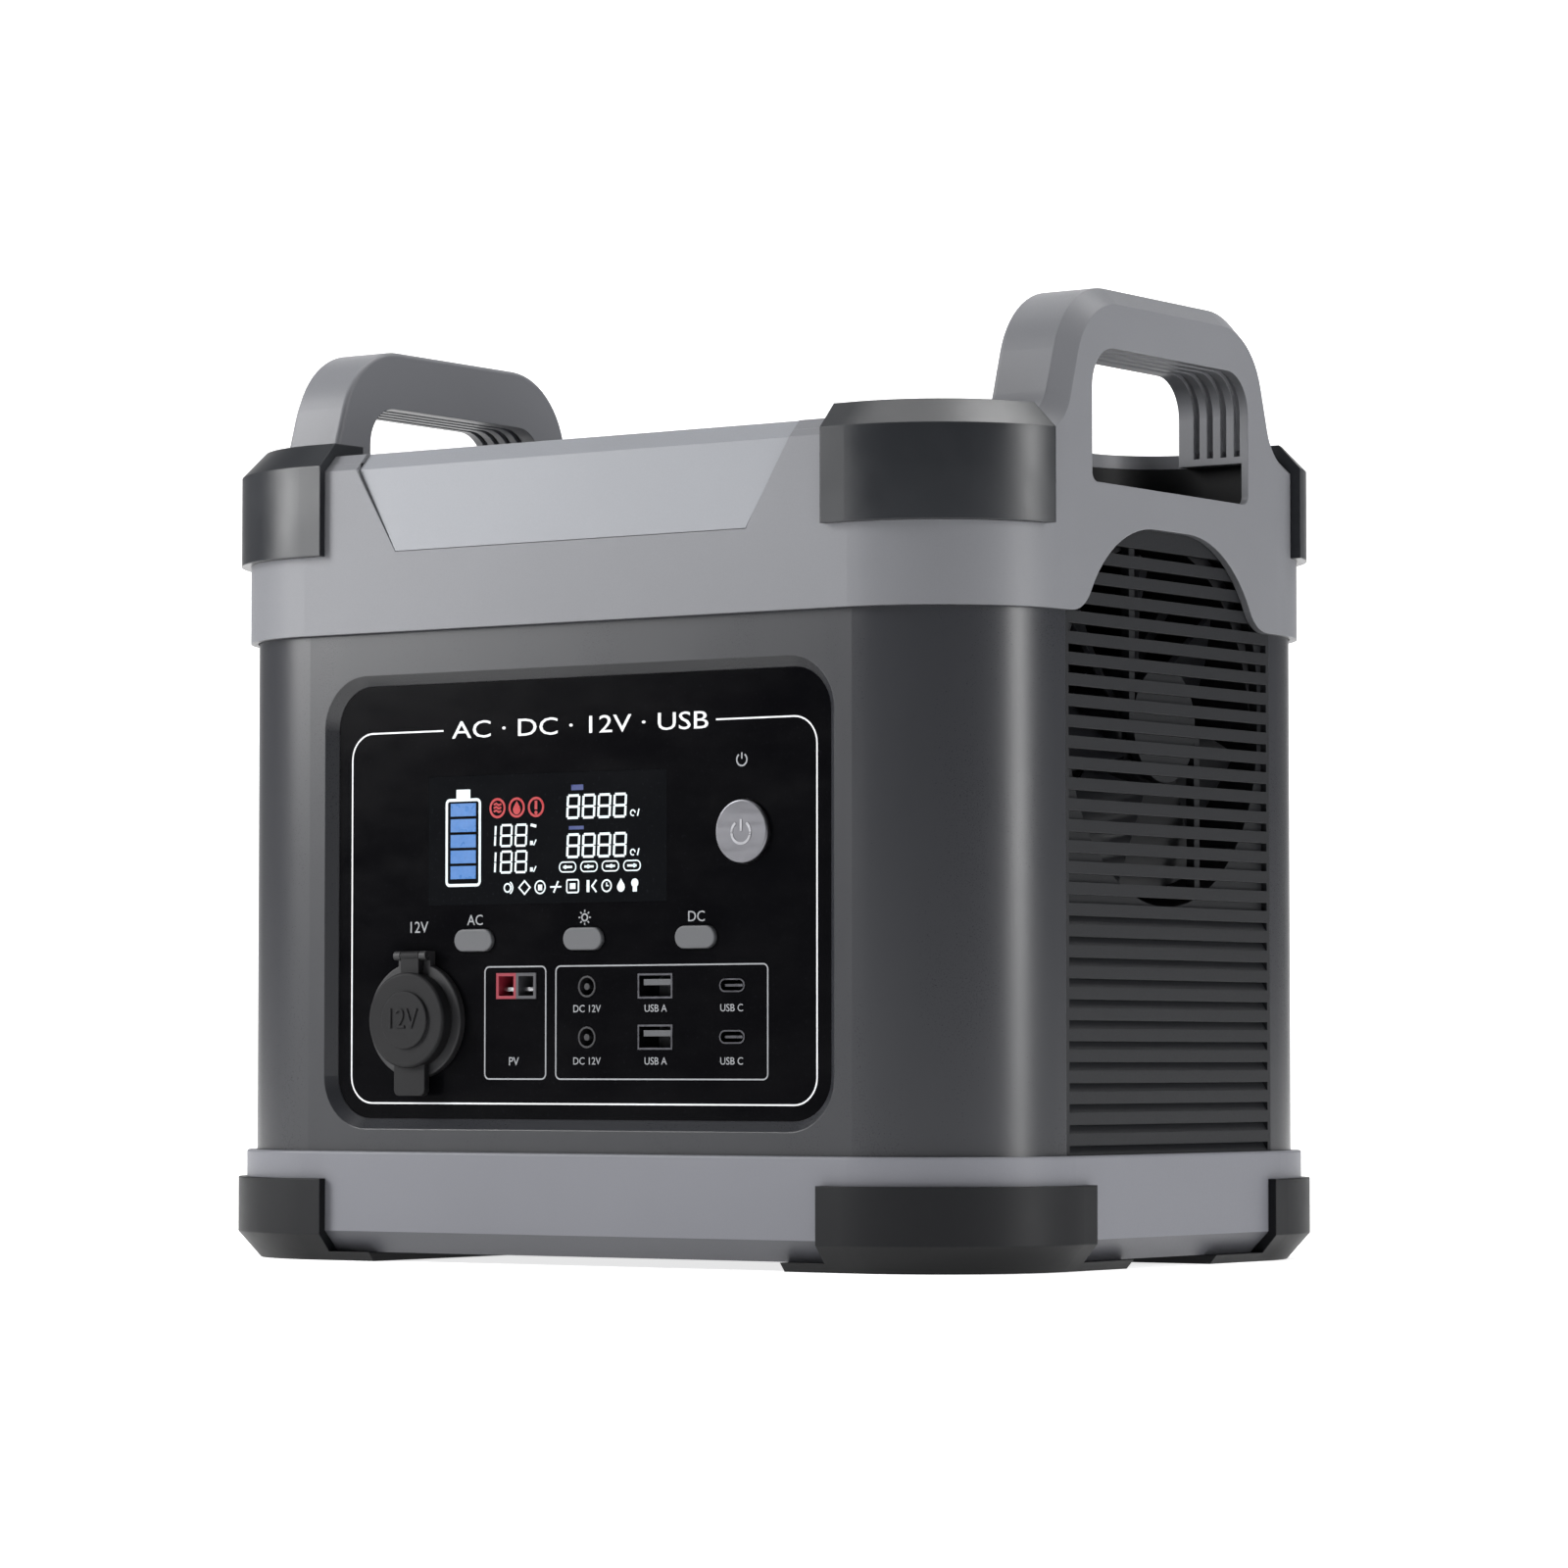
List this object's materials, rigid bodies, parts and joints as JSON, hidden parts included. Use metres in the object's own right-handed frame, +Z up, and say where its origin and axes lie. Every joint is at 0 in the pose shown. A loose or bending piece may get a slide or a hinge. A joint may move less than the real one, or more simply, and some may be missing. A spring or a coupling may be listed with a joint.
{
  "type": "portable power station",
  "caption": "Portable power station: dark housing between a light upper frame with two end handles and a light base tray, with a front control panel and end grilles.",
  "frame": {"origin": "centre of the footprint, on the surface that the feet stand on", "axes": "+X towards the fan end, -Y towards the control panel, +Z up"},
  "size_m": [0.3192, 0.2294, 0.304],
  "materials": {
    "housing_plastic": "fine satin",
    "frame_plastic": "fine satin",
    "cover_plastic": "fine satin",
    "tray_plastic": "fine satin",
    "bumper_rubber": "satin moulded",
    "foot_rubber": "satin moulded",
    "grille_plastic": "matte",
    "pocket_plastic": "matte",
    "filter_foam": "open-cell foam",
    "fan_plastic": "matte",
    "rotor_plastic": "satin",
    "panel_gloss": "gloss",
    "display_glass": "gloss",
    "lcd_body": "matte",
    "power_key": "satin metallic paint",
    "small_key": "satin",
    "switch_plastic": "matte",
    "board_resin": "solder resist",
    "socket_metal": "plated",
    "socket_plastic": "matte",
    "cover_rubber": "matte moulded",
    "connector_red": "satin",
    "connector_black": "satin",
    "contact_metal": "silver plated",
    "jack_plastic": "satin",
    "port_shell": "plated",
    "port_tongue": "satin",
    "outlet_plastic": "satin",
    "lamp_diffuser": "frosted",
    "cell_case": "wrapped",
    "carrier_plastic": "matte",
    "heatsink_alloy": "extruded",
    "transformer_core": "wound",
    "capacitor_case": "sleeved",
    "screw_steel": "black oxide"
  },
  "bodies": {
    "station": {"ac_outlet_left": "outlet_plastic", "ac_outlet_right": "outlet_plastic", "ac_switch": "switch_plastic", "base_screws": "screw_steel", "base_tray": "tray_plastic", "battery_cells": "cell_case", "battery_tray": "carrier_plastic", "bms_board": "board_resin", "capacitors": "capacitor_case", "control_board": "board_resin", "dc_jack_lower": "jack_plastic", "dc_jack_upper": "jack_plastic", "dc_switch": "switch_plastic", "display_window": "display_glass", "fan_frame": "fan_plastic", "front_left_bumper": "bumper_rubber", "front_left_foot": "foot_rubber", "front_panel": "panel_gloss", "front_right_bumper": "bumper_rubber", "front_right_foot": "foot_rubber", "heatsink": "heatsink_alloy", "intake_filter": "filter_foam", "inverter_board": "board_resin", "lcd_module": "lcd_body", "left_grille": "grille_plastic", "left_handle_pocket": "pocket_plastic", "light_board": "board_resin", "light_lens": "lamp_diffuser", "light_switch": "switch_plastic", "mid_housing": "housing_plastic", "power_switch": "switch_plastic", "pv_black_housing": "connector_black", "pv_contacts": "contact_metal", "pv_red_housing": "connector_red", "rear_left_bumper": "bumper_rubber", "rear_left_foot": "foot_rubber", "rear_panel": "panel_gloss", "rear_right_bumper": "bumper_rubber", "rear_right_foot": "foot_rubber", "right_grille": "grille_plastic", "right_handle_pocket": "pocket_plastic", "socket_barrel": "socket_metal", "socket_contact": "socket_metal", "socket_flange": "socket_plastic", "socket_hinge_pin": "socket_metal", "socket_nut": "socket_metal", "top_cover": "cover_plastic", "transformer": "transformer_core", "upper_frame": "frame_plastic", "usb_a_lower": "port_shell", "usb_a_tongues": "port_tongue", "usb_a_upper": "port_shell", "usb_c_lower": "port_shell", "usb_c_upper": "port_shell"},
    "power_button": {"power_button": "power_key"},
    "ac_button": {"ac_button": "small_key"},
    "light_button": {"light_button": "small_key"},
    "dc_button": {"dc_button": "small_key"},
    "socket_cover": {"socket_cover": "cover_rubber"},
    "fan_rotor": {"fan_rotor": "rotor_plastic"}
  },
  "joints": [
    {"name": "power_button_press", "type": "slide", "parent": "station", "child": "power_button", "axis": [0, 1, 0], "range_m": [0, 0.0012], "stiffness_N_per_m": 900, "springref_m": -0.0006},
    {"name": "ac_button_press", "type": "slide", "parent": "station", "child": "ac_button", "axis": [0, 1, 0], "range_m": [0, 0.001], "stiffness_N_per_m": 900, "springref_m": -0.0006},
    {"name": "light_button_press", "type": "slide", "parent": "station", "child": "light_button", "axis": [0, 1, 0], "range_m": [0, 0.001], "stiffness_N_per_m": 900, "springref_m": -0.0006},
    {"name": "dc_button_press", "type": "slide", "parent": "station", "child": "dc_button", "axis": [0, 1, 0], "range_m": [0, 0.001], "stiffness_N_per_m": 900, "springref_m": -0.0006},
    {"name": "socket_cover_hinge", "type": "hinge", "parent": "station", "child": "socket_cover", "pos_m": [-0.0636, -0.10935, 0.0978], "axis": [-1, 0, 0], "range_deg": [0, 120]},
    {"name": "fan_spin", "type": "hinge", "parent": "station", "child": "fan_rotor", "pos_m": [0.13, 0, 0.17], "axis": [1, 0, 0], "continuous": true}
  ]
}
